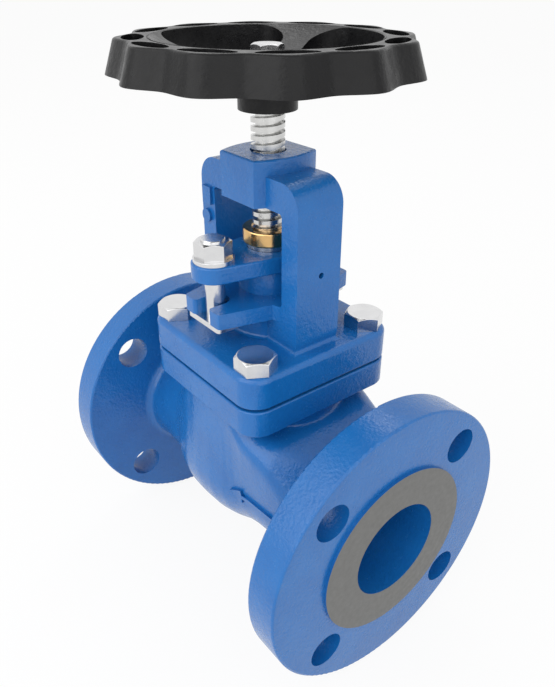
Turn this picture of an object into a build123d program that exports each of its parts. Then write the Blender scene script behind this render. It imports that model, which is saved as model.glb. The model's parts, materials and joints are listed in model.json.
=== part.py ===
from build123d import *
import os
from math import cos, hypot, pi, radians, sin, tan

# Flanged globe valve with outside screw and yoke, rising stem and rising handwheel.
# Millimetres. The origin is the centre of the inlet's raised face, +X runs with the flow
# to the outlet's raised face, and +Z runs up the stem.

# ---------------------------------------------------------------- driving dimensions
# Pipe ends: nominal size 2 in, class 150, raised face
FACE_TO_FACE = 203.0
FLANGE_R = 152.4 / 2
FLANGE_T = 20.0
RAISED_R = 92.1 / 2
RAISED_H = 1.6
BOLT_CIRCLE_R = 120.65 / 2
BOLT_HOLE_R = 19.05 / 2
PORT_R = 26.0
PORT_LENGTH = 44.0
STEM_X = FACE_TO_FACE / 2

# Radial clearance of running fits, also left between faces that only just meet
RUNNING = 0.05

# Body: round necks, a belly about the pipe axis and a round turret about the stem
NECK_R = 34.5
NECK_FILLET = 5.0
FLANGE_RIM_FILLET = 1.2
BELLY_R = 45.0
BELLY_START = -6.0
BELLY_END = 26.0
INLET_NECK_END = 45.0
OUTLET_NECK_END = 47.0
TURRET_R = 41.8
TURRET_FILLET = 3.0
BRANCH_FILLET = 5.0
# Inlet branch sections: distance from the stem, radius below, half width, top, shoulder radius
INLET_BRANCH = (
    (82.0, 32.0, 33.4, 33.4, 32.4),
    (70.0, 33.0, 35.2, 35.4, 29.0),
    (60.0, 33.5, 37.0, 38.5, 19.0),
    (48.0, 34.0, 40.0, 43.8, 9.0),
    (37.0, 34.2, 41.3, 46.0, 8.0),
    (20.0, 33.0, 35.6, 45.0, 8.0),
)
# Outlet branch sections: distance from the stem, radius, height of the centre
OUTLET_BRANCH = (
    (78.0, 33.6, 0.2),
    (60.0, 33.4, 3.6),
    (48.0, 35.6, 8.6),
    (36.0, 38.8, 13.2),
    (24.0, 39.8, 15.0),
    (6.0, 40.0, 15.4),
)
# Flow arrow cast on the inlet branch's side
ARROW_START = 51.5
ARROW_HEAD = 78.0
ARROW_END = 87.0
ARROW_Z = 2.5
ARROW_HALF = 1.4
ARROW_HEAD_HALF = 4.5
ARROW_RISE = 1.2
# Passages inside the body
PASSAGE_Z = -16.0
PASSAGE_HALF_WIDTH = 28.0
PASSAGE_HALF_HEIGHT = 13.0
PASSAGE_RUN = 18.0
OUTLET_MOUTH_X = 28.0
OUTLET_MOUTH_Z = 27.0
OUTLET_MOUTH_HALF_WIDTH = 26.0
OUTLET_MOUTH_HALF_HEIGHT = 19.0
BOWL_WALL_BOTTOM = -18.0
BOWL_CORNER_R = 22.0
BOWL_CORNER_Z = -30.5
BOWL_FLOOR_R = 8.0
CHAMBER_R = 33.5
SEAT_BORE_R = 25.0
SEAT_RING_R = 30.5
SEAT_Z = 10.0
SEAT_RING_BOTTOM = 3.0
BRIDGE_TOP = 8.0
BRIDGE_BOTTOM = -1.0
LOWER_CHAMBER_R = 30.5
LOWER_CHAMBER_FLOOR = -36.0

# Disc, and the stem's head held in it
DISC_R = 29.0
DISC_BOTTOM = SEAT_Z + RUNNING
DISC_PLATE_TOP = 20.0
DISC_HUB_R = 18.0
DISC_HUB_TOP = 36.0
DISC_POCKET_R = 15.0
DISC_POCKET_FLOOR = 22.0
STEM_HEAD_R = 11.5
STEM_HEAD_TOP = 28.0
DISC_NUT_TOP = 42.0
DISC_NUT_AF = 24.0
COLLAR_R = 11.0
COLLAR_BOTTOM = 45.9
COLLAR_SHOULDER = 49.9

# Bonnet joint
JOINT_HALF = 46.5
JOINT_CORNER = 12.0
BODY_JOINT_BOTTOM = 54.0
BODY_JOINT_TOP = 68.5
GASKET_T = 1.5
BONNET_BOTTOM = BODY_JOINT_TOP + GASKET_T
BONNET_TOP = 86.7
BONNET_BOLT_PITCH = 70.0
BONNET_BOLT_R = 6.0
BONNET_BOLT_CLEARANCE_R = 6.75
BONNET_BOLT_AF = 18.0
BONNET_BOLT_HEAD_H = 7.5
BONNET_BOLT_END = 55.0
TAPPED_HOLE_BOTTOM = 50.5
JOINT_EDGE_R = 1.0
BONNET_TOP_FILLET = 3.0
GASKET_HALF = 45.7
SPIGOT_R = 33.3
SPIGOT_BOTTOM = 66.0
RECESS_OUTER_R = 29.0
RECESS_TOP = 76.0

# Stem, packing and gland
STEM_R = 8.0
BACK_SEAT_R = 12.5
BACK_SEAT_BOTTOM = 65.0
STUFFING_R = 16.0
STUFFING_WALL_R = 20.5
STUFFING_BOTTOM = 72.0
PACKING_WASHER_T = 2.0
PACKING_RINGS = 5
PACKING_T = 5.0
PACKING_TOP = STUFFING_BOTTOM + PACKING_WASHER_T + PACKING_RINGS * PACKING_T
LUG_BOTTOM = 100.0
LUG_TOP = 108.0
LUG_HALF = 13.8
LUG_END = 41.5
LUG_CORNER_R = 2.0
SLOT_HALF = 6.0
SLOT_END_Y = 32.0
LUG_FLARE_Y = 24.0
GLAND_BOLT_Y = 33.0
GLAND_BOTTOM = 120.5
GLAND_TOP = 129.0
GLAND_HUB_R = 18.0
GLAND_EAR_R = 11.0
GLAND_BUSH_R = 11.0
GLAND_BUSH_TOP = 131.0
GLAND_BOLT_R = 5.0
GLAND_BOLT_TOP = 142.0
GLAND_HEAD_X = 27.0
GLAND_HEAD_Y = 16.0
GLAND_HEAD_H = 3.0
GLAND_EAR_HOLE_R = 5.6
GLAND_WASHER_R = 10.0
GLAND_WASHER_T = 2.0
GLAND_NUT_AF = 16.0
GLAND_NUT_H = 8.4

# Yoke
LEG_IN = 27.0
LEG_OUT = 38.3
LEG_HALF = 13.3
LEG_SHOULDER_R = 12.0
LEG_TOP = 168.8
HEAD_BOTTOM = 154.4
HEAD_TOP = 176.0
HEAD_HALF_X = 13.0
HEAD_HALF_Y = 18.3
HEAD_BULGE_X = 17.8
BUSH_R = 12.0
BUSH_TOP = 171.0
BUSH_MOUTH_R = 8.6
FOOT_FILLET = 2.0
HEAD_FILLET = 1.2

# Stop ring on the stem and the travel that it allows
STOP_RING_R = 13.0
STOP_RING_BOTTOM = 131.5
STOP_RING_H = 7.5
LIFT = 15.0

# Handwheel
WHEEL_TOP = 224.7
WHEEL_BOTTOM = 210.3
WHEEL_R = 67.8
WHEEL_LOBE = 2.3
WHEEL_LOBES = 12
WHEEL_DRAFT = 19.0
RIM_INNER_R = 50.0
RIM_POCKET_R = 57.0
RIM_POCKET_DEPTH = 10.0
WHEEL_EDGE_R = 1.5
SPOKES = 3
SPOKE_HALF = 6.5
SPOKE_T = 7.5
SPOKE_FLARE_R = 12.0
HUB_R = 13.7
HUB_BOTTOM = 194.3
HUB_TOP = 214.6
SQUARE = 11.0
WHEEL_BOLT_AF = 13.0
WHEEL_BOLT_R = 4.0
WHEEL_BOLT_HEAD_H = 5.3
WHEEL_BOLT_END = 200.0
WHEEL_WASHER_R = 8.5
WHEEL_WASHER_T = 1.6
STEM_TOP = 214.0

os.makedirs("parts", exist_ok=True)


def save(part, name):
    """Label a finished piece and write it to its own file."""
    part.label = name
    export_step(part, "parts/" + name + ".step")
    print(f"{name:20s} volume {part.volume / 1000:9.3f} cm3")


def stem_plane(z):
    """The horizontal plane at height z, centred on the stem axis."""
    return Plane((STEM_X, 0, z))


def pipe_plane(x):
    """The plane across the pipe at x, with local X along +Y and local Y along +Z."""
    return Plane((x, 0, 0), x_dir=(0, 1, 0), z_dir=(1, 0, 0))


def stem_side_plane():
    """The plane through the stem axis, local X along +X from the stem, local Y along +Z."""
    return Plane((STEM_X, 0, 0), x_dir=(1, 0, 0), z_dir=(0, -1, 0))


STEM_AXIS = Axis((STEM_X, 0, 0), (0, 0, 1))


def hex_prism(base, across_flats, height):
    """A hexagon standing on the plane, cut from a round blank with its top corner turned off."""
    with BuildPart() as prism:
        with BuildSketch(base):
            Circle(0.58 * across_flats)
        extrude(amount=height)
        chamfer(prism.edges().group_by(Axis.Z)[-1], 0.06 * across_flats, 0.105 * across_flats)
        with BuildSketch(base):
            RegularPolygon(across_flats / 2, 6, major_radius=False)
        extrude(amount=height, mode=Mode.INTERSECT)
    return prism.part


def turned(*outline):
    """A closed outline of radius and height pairs beside the stem axis, ready to be revolved."""
    with BuildSketch(stem_side_plane()) as section:
        with BuildLine():
            Polyline(*outline, close=True)
        make_face()
    return section.sketch


def on_flange_rim(edge):
    """True for a circle round the outside of a pipe flange."""
    return abs(edge.radius - FLANGE_R) < 0.01


def tube_section(outer_r, inner_r, bottom, top):
    """The half section of a plain ring round the stem axis."""
    return turned((inner_r, bottom), (outer_r, bottom), (outer_r, top), (inner_r, top))


# ---------------------------------------------------------------- valve body
def belly_outline(rise):
    """Line the body's underside from neck to neck, raised by a constant amount."""
    inlet_end = (STEM_X - INLET_NECK_END, NECK_R + 0.5 + rise)
    belly_start = (STEM_X + BELLY_START, BELLY_R + rise)
    belly_end = (STEM_X + BELLY_END, BELLY_R + rise)
    outlet_start = (STEM_X + OUTLET_NECK_END, NECK_R + rise)
    Spline(
        inlet_end,
        (STEM_X - 22, 37.0 + rise),
        (STEM_X - 12, 41.2 + rise),
        belly_start,
        tangents=((1, 0.02), (1, 0)),
    )
    Line(belly_start, belly_end)
    Spline(belly_end, (STEM_X + 37, 40.5 + rise), outlet_start, tangents=((1, 0), (1, -0.3)))
    return inlet_end, outlet_start


def branch_section(x, low_r, half_width, top, shoulder_r):
    """The inlet branch across the pipe at x: round below, with two rounded shoulders above."""
    shoulder_y = half_width - shoulder_r
    with BuildSketch(pipe_plane(x)) as section:
        Circle(low_r)
        with Locations((shoulder_y, top - shoulder_r), (-shoulder_y, top - shoulder_r)):
            Circle(shoulder_r)
        make_hull()
    return section.sketch


def on_turret(edge):
    """True for an edge that runs on the turret's round wall, other than its straight seam."""
    radii = [hypot(edge.position_at(t).X - STEM_X, edge.position_at(t).Y) for t in (0, 0.3, 0.6, 1)]
    return edge.geom_type != GeomType.LINE and max(abs(r - TURRET_R) for r in radii) < 0.05


def off_turret(edge):
    """True for an edge well outside the turret and its fillets."""
    mid = edge.position_at(0.5)
    return hypot(mid.X - STEM_X, mid.Y) > TURRET_R + TURRET_FILLET + RUNNING


# the arrow's prism runs out of the neck's side and is cut to a skin raised over it
with BuildPart() as flow_arrow:
    with BuildSketch(Plane.XZ.offset(-NECK_R + 6)):
        with BuildLine():
            Polyline(
                (ARROW_START, ARROW_Z - ARROW_HALF),
                (ARROW_HEAD, ARROW_Z - ARROW_HALF),
                (ARROW_HEAD, ARROW_Z - ARROW_HEAD_HALF),
                (ARROW_END, ARROW_Z),
                (ARROW_HEAD, ARROW_Z + ARROW_HEAD_HALF),
                (ARROW_HEAD, ARROW_Z + ARROW_HALF),
                (ARROW_START, ARROW_Z + ARROW_HALF),
                close=True,
            )
        make_face()
    extrude(amount=-20)
    with BuildSketch(Plane.XY):
        with BuildLine():
            skin_start, skin_end = belly_outline(ARROW_RISE)
            Polyline(
                skin_end,
                (skin_end[0], 0),
                (FLANGE_T, 0),
                (FLANGE_T, skin_start[1]),
                skin_start,
            )
        make_face()
    revolve(axis=Axis.X, mode=Mode.INTERSECT)

with BuildPart() as valve_body:
    # pipe flanges, necks and the belly under the seat, turned about the pipe axis
    with BuildSketch(Plane.XY):
        with BuildLine():
            Polyline(
                (0, 0),
                (0, RAISED_R),
                (RAISED_H, RAISED_R),
                (RAISED_H, FLANGE_R),
                (FLANGE_T, FLANGE_R),
                (FLANGE_T, NECK_R + NECK_FILLET),
            )
            RadiusArc((FLANGE_T, NECK_R + NECK_FILLET), (FLANGE_T + NECK_FILLET, NECK_R), -NECK_FILLET)
            inlet_neck_end, outlet_neck_start = belly_outline(0)
            Line((FLANGE_T + NECK_FILLET, NECK_R), inlet_neck_end)
            Line(outlet_neck_start, (FACE_TO_FACE - FLANGE_T - NECK_FILLET, NECK_R))
            RadiusArc(
                (FACE_TO_FACE - FLANGE_T - NECK_FILLET, NECK_R),
                (FACE_TO_FACE - FLANGE_T, NECK_R + NECK_FILLET),
                -NECK_FILLET,
            )
            Polyline(
                (FACE_TO_FACE - FLANGE_T, NECK_R + NECK_FILLET),
                (FACE_TO_FACE - FLANGE_T, FLANGE_R),
                (FACE_TO_FACE - RAISED_H, FLANGE_R),
                (FACE_TO_FACE - RAISED_H, RAISED_R),
                (FACE_TO_FACE, RAISED_R),
                (FACE_TO_FACE, 0),
                (0, 0),
            )
        make_face()
    revolve(axis=Axis.X)
    # the inlet branch swells over the pipe axis towards the turret
    loft([branch_section(STEM_X - distance, *sizes) for distance, *sizes in INLET_BRANCH])
    # the outlet branch climbs from the neck to the chamber over the seat
    for distance, radius, rise in OUTLET_BRANCH:
        with BuildSketch(pipe_plane(STEM_X + distance)):
            with Locations((0, rise)):
                Circle(radius)
    loft()
    # the turret, and the square joint flange on top of it
    with BuildSketch(stem_plane(0)):
        Circle(TURRET_R)
    extrude(amount=BODY_JOINT_BOTTOM)
    with BuildSketch(stem_plane(BODY_JOINT_BOTTOM)):
        RectangleRounded(2 * JOINT_HALF, 2 * JOINT_HALF, JOINT_CORNER)
    extrude(amount=BODY_JOINT_TOP - BODY_JOINT_BOTTOM)
    # cast radii where the turret meets the branches, the belly and the joint flange
    turret_edges = valve_body.edges().filter_by(on_turret)
    joint_ring = turret_edges.sort_by(Axis.Z)[-1]
    fillet([edge for edge in turret_edges if edge != joint_ring], BRANCH_FILLET)
    joint_underside = valve_body.edges().filter_by_position(Axis.Z, BODY_JOINT_BOTTOM, BODY_JOINT_BOTTOM)
    fillet(joint_underside.filter_by(on_turret), TURRET_FILLET)
    joint_underside = valve_body.edges().filter_by_position(Axis.Z, BODY_JOINT_BOTTOM, BODY_JOINT_BOTTOM)
    fillet(joint_underside.filter_by(off_turret) + valve_body.edges().group_by(Axis.Z)[-1], JOINT_EDGE_R)
    fillet(valve_body.edges().filter_by(GeomType.CIRCLE).filter_by(on_flange_rim), FLANGE_RIM_FILLET)
    add(flow_arrow.part)
    # inlet passage: straight port, then down under the seat
    with BuildSketch(pipe_plane(0)):
        Circle(PORT_R)
    extrude(amount=PORT_LENGTH, mode=Mode.SUBTRACT)
    with BuildSketch(pipe_plane(PORT_LENGTH)):
        Circle(PORT_R)
    for run in (0, PASSAGE_RUN):
        with BuildSketch(pipe_plane(STEM_X - LOWER_CHAMBER_R - 2)):
            with Locations((0, PASSAGE_Z)):
                Ellipse(PASSAGE_HALF_WIDTH, PASSAGE_HALF_HEIGHT)
        if run:
            extrude(amount=run, mode=Mode.SUBTRACT)
        else:
            loft(mode=Mode.SUBTRACT)
    # bowl under the bridge
    with BuildSketch(stem_side_plane()):
        with BuildLine():
            Polyline(
                (0, LOWER_CHAMBER_FLOOR),
                (0, BRIDGE_BOTTOM),
                (LOWER_CHAMBER_R, BRIDGE_BOTTOM),
                (LOWER_CHAMBER_R, BOWL_WALL_BOTTOM),
            )
            ThreePointArc(
                (LOWER_CHAMBER_R, BOWL_WALL_BOTTOM),
                (BOWL_CORNER_R, BOWL_CORNER_Z),
                (BOWL_FLOOR_R, LOWER_CHAMBER_FLOOR),
            )
            Line((BOWL_FLOOR_R, LOWER_CHAMBER_FLOOR), (0, LOWER_CHAMBER_FLOOR))
        make_face()
    revolve(axis=STEM_AXIS, mode=Mode.SUBTRACT)
    # throat through the bridge, the seat ring's pocket and the chamber over it
    revolve(
        turned(
            (0, BRIDGE_BOTTOM - 1),
            (SEAT_BORE_R, BRIDGE_BOTTOM - 1),
            (SEAT_BORE_R, SEAT_RING_BOTTOM),
            (SEAT_RING_R, SEAT_RING_BOTTOM),
            (SEAT_RING_R, BRIDGE_TOP),
            (CHAMBER_R, BRIDGE_TOP),
            (CHAMBER_R, BODY_JOINT_TOP),
            (0, BODY_JOINT_TOP),
        ),
        axis=STEM_AXIS,
        mode=Mode.SUBTRACT,
    )
    # outlet passage: down from the chamber into the straight port
    with BuildSketch(pipe_plane(STEM_X + OUTLET_MOUTH_X)):
        with Locations((0, OUTLET_MOUTH_Z)):
            Ellipse(OUTLET_MOUTH_HALF_WIDTH, OUTLET_MOUTH_HALF_HEIGHT)
    with BuildSketch(pipe_plane(FACE_TO_FACE - PORT_LENGTH)):
        Circle(PORT_R)
    loft(mode=Mode.SUBTRACT)
    with BuildSketch(pipe_plane(FACE_TO_FACE)):
        Circle(PORT_R)
    extrude(amount=-PORT_LENGTH, mode=Mode.SUBTRACT)
    # flange bolt holes, two clear of the centre line on each side
    for face_x in (0, FACE_TO_FACE - FLANGE_T):
        with BuildSketch(pipe_plane(face_x)):
            with PolarLocations(BOLT_CIRCLE_R, 4, start_angle=45):
                Circle(BOLT_HOLE_R)
        extrude(amount=FLANGE_T, mode=Mode.SUBTRACT)
    # tapped holes for the bonnet bolts
    with BuildSketch(stem_plane(TAPPED_HOLE_BOTTOM)):
        with GridLocations(BONNET_BOLT_PITCH, BONNET_BOLT_PITCH, 2, 2):
            Circle(BONNET_BOLT_R)
    extrude(amount=BODY_JOINT_TOP - TAPPED_HOLE_BOTTOM, mode=Mode.SUBTRACT)
save(valve_body.part, "valve_body")


# ---------------------------------------------------------------- seat and disc
with BuildPart() as seat_ring:
    revolve(
        turned(
            (SEAT_BORE_R, SEAT_RING_BOTTOM),
            (SEAT_RING_R, SEAT_RING_BOTTOM),
            (SEAT_RING_R, SEAT_Z - 1.5),
            (SEAT_RING_R - 2.5, SEAT_Z),
            (SEAT_BORE_R + 0.8, SEAT_Z),
            (SEAT_BORE_R, SEAT_Z - 0.8),
        ),
        axis=STEM_AXIS,
    )
save(seat_ring.part, "seat_ring")

with BuildPart() as disc:
    revolve(
        turned(
            (0, DISC_BOTTOM),
            (DISC_R - 1, DISC_BOTTOM),
            (DISC_R, DISC_BOTTOM + 1),
            (DISC_R, DISC_PLATE_TOP - 4),
            (DISC_HUB_R + 2, DISC_PLATE_TOP),
            (DISC_HUB_R, DISC_PLATE_TOP + 2),
            (DISC_HUB_R, DISC_HUB_TOP),
            (DISC_POCKET_R, DISC_HUB_TOP),
            (DISC_POCKET_R, DISC_POCKET_FLOOR),
            (0, DISC_POCKET_FLOOR),
        ),
        axis=STEM_AXIS,
    )
save(disc.part, "disc")

nut_hexagon = hex_prism(stem_plane(DISC_HUB_TOP), DISC_NUT_AF, DISC_NUT_TOP - DISC_HUB_TOP)
with BuildPart() as disc_nut:
    revolve(
        tube_section(DISC_POCKET_R, STEM_R + RUNNING, STEM_HEAD_TOP + RUNNING, DISC_HUB_TOP),
        axis=STEM_AXIS,
    )
    add(nut_hexagon)
    revolve(
        tube_section(STEM_R + RUNNING, 0, STEM_HEAD_TOP, DISC_NUT_TOP + 1),
        axis=STEM_AXIS,
        mode=Mode.SUBTRACT,
    )
save(disc_nut.part, "disc_nut")


# ---------------------------------------------------------------- stem and stop ring
with BuildPart() as stem:
    # head held in the disc, back-seat collar, plain and threaded shank
    revolve(
        turned(
            (0, DISC_POCKET_FLOOR + RUNNING),
            (STEM_HEAD_R - 3, DISC_POCKET_FLOOR + RUNNING),
            (STEM_HEAD_R, DISC_POCKET_FLOOR + 1),
            (STEM_HEAD_R, STEM_HEAD_TOP),
            (STEM_R, STEM_HEAD_TOP),
            (STEM_R, COLLAR_BOTTOM),
            (COLLAR_R, COLLAR_BOTTOM),
            (COLLAR_R, COLLAR_SHOULDER),
            (STEM_R, COLLAR_SHOULDER + COLLAR_R - STEM_R),
            (STEM_R, HUB_BOTTOM),
            (0, HUB_BOTTOM),
        ),
        axis=STEM_AXIS,
    )
    # square for the handwheel
    with BuildSketch(stem_plane(HUB_BOTTOM)):
        Rectangle(SQUARE, SQUARE)
    extrude(amount=STEM_TOP - HUB_BOTTOM)
    # tapped hole for the handwheel bolt
    with BuildSketch(stem_plane(STEM_TOP)):
        Circle(WHEEL_BOLT_R)
    extrude(amount=WHEEL_BOLT_END - 2 - STEM_TOP, mode=Mode.SUBTRACT)
save(stem.part, "stem")

with BuildPart() as stop_ring:
    revolve(
        tube_section(STOP_RING_R, STEM_R, STOP_RING_BOTTOM, STOP_RING_BOTTOM + STOP_RING_H),
        axis=STEM_AXIS,
    )
    ring_rims = stop_ring.edges().filter_by(GeomType.CIRCLE).sort_by(lambda edge: edge.radius)
    chamfer(ring_rims[-2:], 0.6)
save(stop_ring.part, "stop_ring")


# ---------------------------------------------------------------- bonnet with yoke
with BuildPart() as bonnet:
    # square cover and the spigot that centres it in the chamber
    with BuildSketch(stem_plane(BONNET_BOTTOM)):
        RectangleRounded(2 * JOINT_HALF, 2 * JOINT_HALF, JOINT_CORNER)
    extrude(amount=BONNET_TOP - BONNET_BOTTOM)
    fillet(bonnet.edges().group_by(Axis.Z)[-1], BONNET_TOP_FILLET)
    fillet(bonnet.edges().group_by(Axis.Z)[0], JOINT_EDGE_R)
    with BuildSketch(stem_plane(SPIGOT_BOTTOM)):
        Circle(SPIGOT_R)
    extrude(amount=BONNET_BOTTOM - SPIGOT_BOTTOM)
    # two yoke legs joined at the top and round the stuffing box
    with BuildSketch(stem_side_plane()):
        with Locations((0, BONNET_TOP - 5)):
            Rectangle(2 * LEG_OUT, LEG_TOP - BONNET_TOP + 5, align=(Align.CENTER, Align.MIN))
        fillet(vertices().group_by(Axis.Z)[-1], LEG_SHOULDER_R)
        with BuildSketch(mode=Mode.SUBTRACT):
            with Locations((0, LUG_TOP)):
                Rectangle(2 * LEG_IN, HEAD_BOTTOM - LUG_TOP, align=(Align.CENTER, Align.MIN))
            fillet(vertices(), 2)
    extrude(amount=LEG_HALF, both=True)
    with BuildSketch(stem_plane(BONNET_TOP)):
        Circle(STUFFING_WALL_R)
    extrude(amount=LUG_TOP - BONNET_TOP)
    # cast radius round the feet of the legs and the stuffing box
    fillet(
        bonnet.edges()
        .filter_by_position(Axis.Z, BONNET_TOP, BONNET_TOP)
        .filter_by(lambda edge: abs(edge.center().Y) < STUFFING_WALL_R + RUNNING)
        .filter_by(lambda edge: abs(edge.center().X - STEM_X) < LEG_OUT + RUNNING),
        FOOT_FILLET,
    )
    # head: two flat faces and two bulged ends
    with BuildSketch(stem_plane(HEAD_BOTTOM)):
        with BuildLine():
            ThreePointArc(
                (HEAD_HALF_X, -HEAD_HALF_Y), (HEAD_BULGE_X, 0), (HEAD_HALF_X, HEAD_HALF_Y)
            )
            Line((HEAD_HALF_X, HEAD_HALF_Y), (-HEAD_HALF_X, HEAD_HALF_Y))
            ThreePointArc(
                (-HEAD_HALF_X, HEAD_HALF_Y), (-HEAD_BULGE_X, 0), (-HEAD_HALF_X, -HEAD_HALF_Y)
            )
            Line((-HEAD_HALF_X, -HEAD_HALF_Y), (HEAD_HALF_X, -HEAD_HALF_Y))
        make_face()
    extrude(amount=HEAD_TOP - HEAD_BOTTOM)
    fillet(bonnet.edges().group_by(Axis.Z)[-1], HEAD_FILLET)
    # slotted lugs for the gland bolts, flaring into the legs
    for side in (1, -1):
        with BuildSketch(stem_plane(LUG_BOTTOM)):
            with BuildLine():
                Polyline(
                    (-LUG_HALF - 2, side * LUG_FLARE_Y),
                    (-LUG_HALF, side * LUG_END),
                    (LUG_HALF, side * LUG_END),
                    (LUG_HALF + 2, side * LUG_FLARE_Y),
                )
                Spline(
                    (LUG_HALF + 2, side * LUG_FLARE_Y),
                    (LEG_IN, side * (LEG_HALF - 0.3)),
                    tangents=((0.15, -side), (1, -0.1 * side)),
                )
                Polyline((LEG_IN, side * (LEG_HALF - 0.3)), (0, 0), (-LEG_IN, side * (LEG_HALF - 0.3)))
                Spline(
                    (-LEG_IN, side * (LEG_HALF - 0.3)),
                    (-LUG_HALF - 2, side * LUG_FLARE_Y),
                    tangents=((1, 0.1 * side), (0.15, side)),
                )
            make_face()
            with Locations((0, side * SLOT_END_Y)):
                Circle(SLOT_HALF, mode=Mode.SUBTRACT)
            with Locations((0, side * (SLOT_END_Y + 10))):
                Rectangle(2 * SLOT_HALF, 20, mode=Mode.SUBTRACT)
            fillet(vertices().filter_by(lambda corner: abs(corner.Y) > LUG_END - 1), LUG_CORNER_R)
        extrude(amount=LUG_TOP - LUG_BOTTOM)
    # raised mark and round boss on the outlet-side leg
    with BuildSketch(stem_side_plane().offset(-LEG_HALF)):
        with Locations((32.5, 149)):
            Rectangle(7, 9)
        with Locations((33.5, 138)):
            Circle(3.5)
    extrude(amount=-1.5)
    # stuffing box bore, seat of the back-seat bush, bore of the yoke bush and stem opening
    revolve(tube_section(STUFFING_R, 0, STUFFING_BOTTOM, LUG_TOP), axis=STEM_AXIS, mode=Mode.SUBTRACT)
    revolve(
        tube_section(BACK_SEAT_R, 0, SPIGOT_BOTTOM, STUFFING_BOTTOM), axis=STEM_AXIS, mode=Mode.SUBTRACT
    )
    revolve(tube_section(BUSH_R, 0, HEAD_BOTTOM, BUSH_TOP), axis=STEM_AXIS, mode=Mode.SUBTRACT)
    revolve(tube_section(BUSH_MOUTH_R, 0, BUSH_TOP, HEAD_TOP), axis=STEM_AXIS, mode=Mode.SUBTRACT)
    # recess cored into the underside round the stuffing box
    revolve(
        tube_section(RECESS_OUTER_R, STUFFING_WALL_R, SPIGOT_BOTTOM, RECESS_TOP),
        axis=STEM_AXIS,
        mode=Mode.SUBTRACT,
    )
    # bolt holes, and the small blind hole in the inlet-side leg
    with BuildSketch(stem_plane(BONNET_BOTTOM)):
        with GridLocations(BONNET_BOLT_PITCH, BONNET_BOLT_PITCH, 2, 2):
            Circle(BONNET_BOLT_CLEARANCE_R)
    extrude(amount=BONNET_TOP - BONNET_BOTTOM, mode=Mode.SUBTRACT)
    with BuildSketch(pipe_plane(STEM_X - LEG_OUT)):
        with Locations((-1.4, 124.9)):
            Circle(1.5)
    extrude(amount=5, mode=Mode.SUBTRACT)
save(bonnet.part, "bonnet")

with BuildPart() as yoke_bush:
    revolve(tube_section(BUSH_R, STEM_R + RUNNING, HEAD_BOTTOM, BUSH_TOP), axis=STEM_AXIS)
save(yoke_bush.part, "yoke_bush")

with BuildPart() as bonnet_gasket:
    with BuildSketch(stem_plane(BODY_JOINT_TOP)):
        RectangleRounded(2 * GASKET_HALF, 2 * GASKET_HALF, JOINT_CORNER)
        Circle(CHAMBER_R, mode=Mode.SUBTRACT)
        with GridLocations(BONNET_BOLT_PITCH, BONNET_BOLT_PITCH, 2, 2):
            Circle(BONNET_BOLT_CLEARANCE_R, mode=Mode.SUBTRACT)
    extrude(amount=GASKET_T)
save(bonnet_gasket.part, "bonnet_gasket")

half_pitch = BONNET_BOLT_PITCH / 2
bolt_corners = [(-half_pitch, half_pitch), (half_pitch, half_pitch)]
bolt_corners += [(half_pitch, -half_pitch), (-half_pitch, -half_pitch)]
for number, (x, y) in enumerate(bolt_corners, start=1):
    head = hex_prism(Plane((STEM_X + x, y, BONNET_TOP)), BONNET_BOLT_AF, BONNET_BOLT_HEAD_H)
    with BuildPart() as bonnet_bolt:
        with BuildSketch(Plane((STEM_X + x, y, BONNET_BOLT_END))):
            Circle(BONNET_BOLT_R)
        extrude(amount=BONNET_TOP - BONNET_BOLT_END)
        chamfer(bonnet_bolt.edges().group_by(Axis.Z)[0], 1)
        add(head)
    save(bonnet_bolt.part, f"bonnet_bolt_{number}")


# ---------------------------------------------------------------- packing and gland
with BuildPart() as back_seat_bush:
    revolve(
        turned(
            (COLLAR_R + 0.1, BACK_SEAT_BOTTOM),
            (BACK_SEAT_R, BACK_SEAT_BOTTOM),
            (BACK_SEAT_R, STUFFING_BOTTOM),
            (STEM_R + RUNNING, STUFFING_BOTTOM),
            (STEM_R + RUNNING, BACK_SEAT_BOTTOM + COLLAR_R + 0.1 - STEM_R - RUNNING),
        ),
        axis=STEM_AXIS,
    )
save(back_seat_bush.part, "back_seat_bush")

packing_bottom = STUFFING_BOTTOM + PACKING_WASHER_T
with BuildPart() as packing_washer:
    revolve(tube_section(STUFFING_R, STEM_R + RUNNING, STUFFING_BOTTOM, packing_bottom), axis=STEM_AXIS)
save(packing_washer.part, "packing_washer")

for number in range(1, PACKING_RINGS + 1):
    ring_bottom = packing_bottom + (number - 1) * PACKING_T
    with BuildPart() as packing_ring:
        revolve(
            tube_section(STUFFING_R, STEM_R + RUNNING, ring_bottom, ring_bottom + PACKING_T),
            axis=STEM_AXIS,
        )
    save(packing_ring.part, f"packing_ring_{number}")

with BuildPart() as gland_flange:
    with BuildSketch(stem_plane(GLAND_BOTTOM)):
        Circle(GLAND_HUB_R)
        with Locations((0, GLAND_BOLT_Y), (0, -GLAND_BOLT_Y)):
            Circle(GLAND_EAR_R)
        make_hull()
    extrude(amount=GLAND_TOP - GLAND_BOTTOM)
    fillet(gland_flange.edges().group_by(Axis.Z)[-1] + gland_flange.edges().group_by(Axis.Z)[0], 1)
    with BuildSketch(stem_plane(PACKING_TOP)):
        Circle(STUFFING_R - 0.1)
    extrude(amount=GLAND_BOTTOM - PACKING_TOP)
    with BuildSketch(stem_plane(PACKING_TOP)):
        Circle(GLAND_BUSH_R)
    extrude(amount=GLAND_TOP - PACKING_TOP, mode=Mode.SUBTRACT)
    with BuildSketch(stem_plane(GLAND_BOTTOM)):
        with Locations((0, GLAND_BOLT_Y), (0, -GLAND_BOLT_Y)):
            Circle(GLAND_EAR_HOLE_R)
    extrude(amount=GLAND_TOP - GLAND_BOTTOM, mode=Mode.SUBTRACT)
save(gland_flange.part, "gland_flange")

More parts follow.
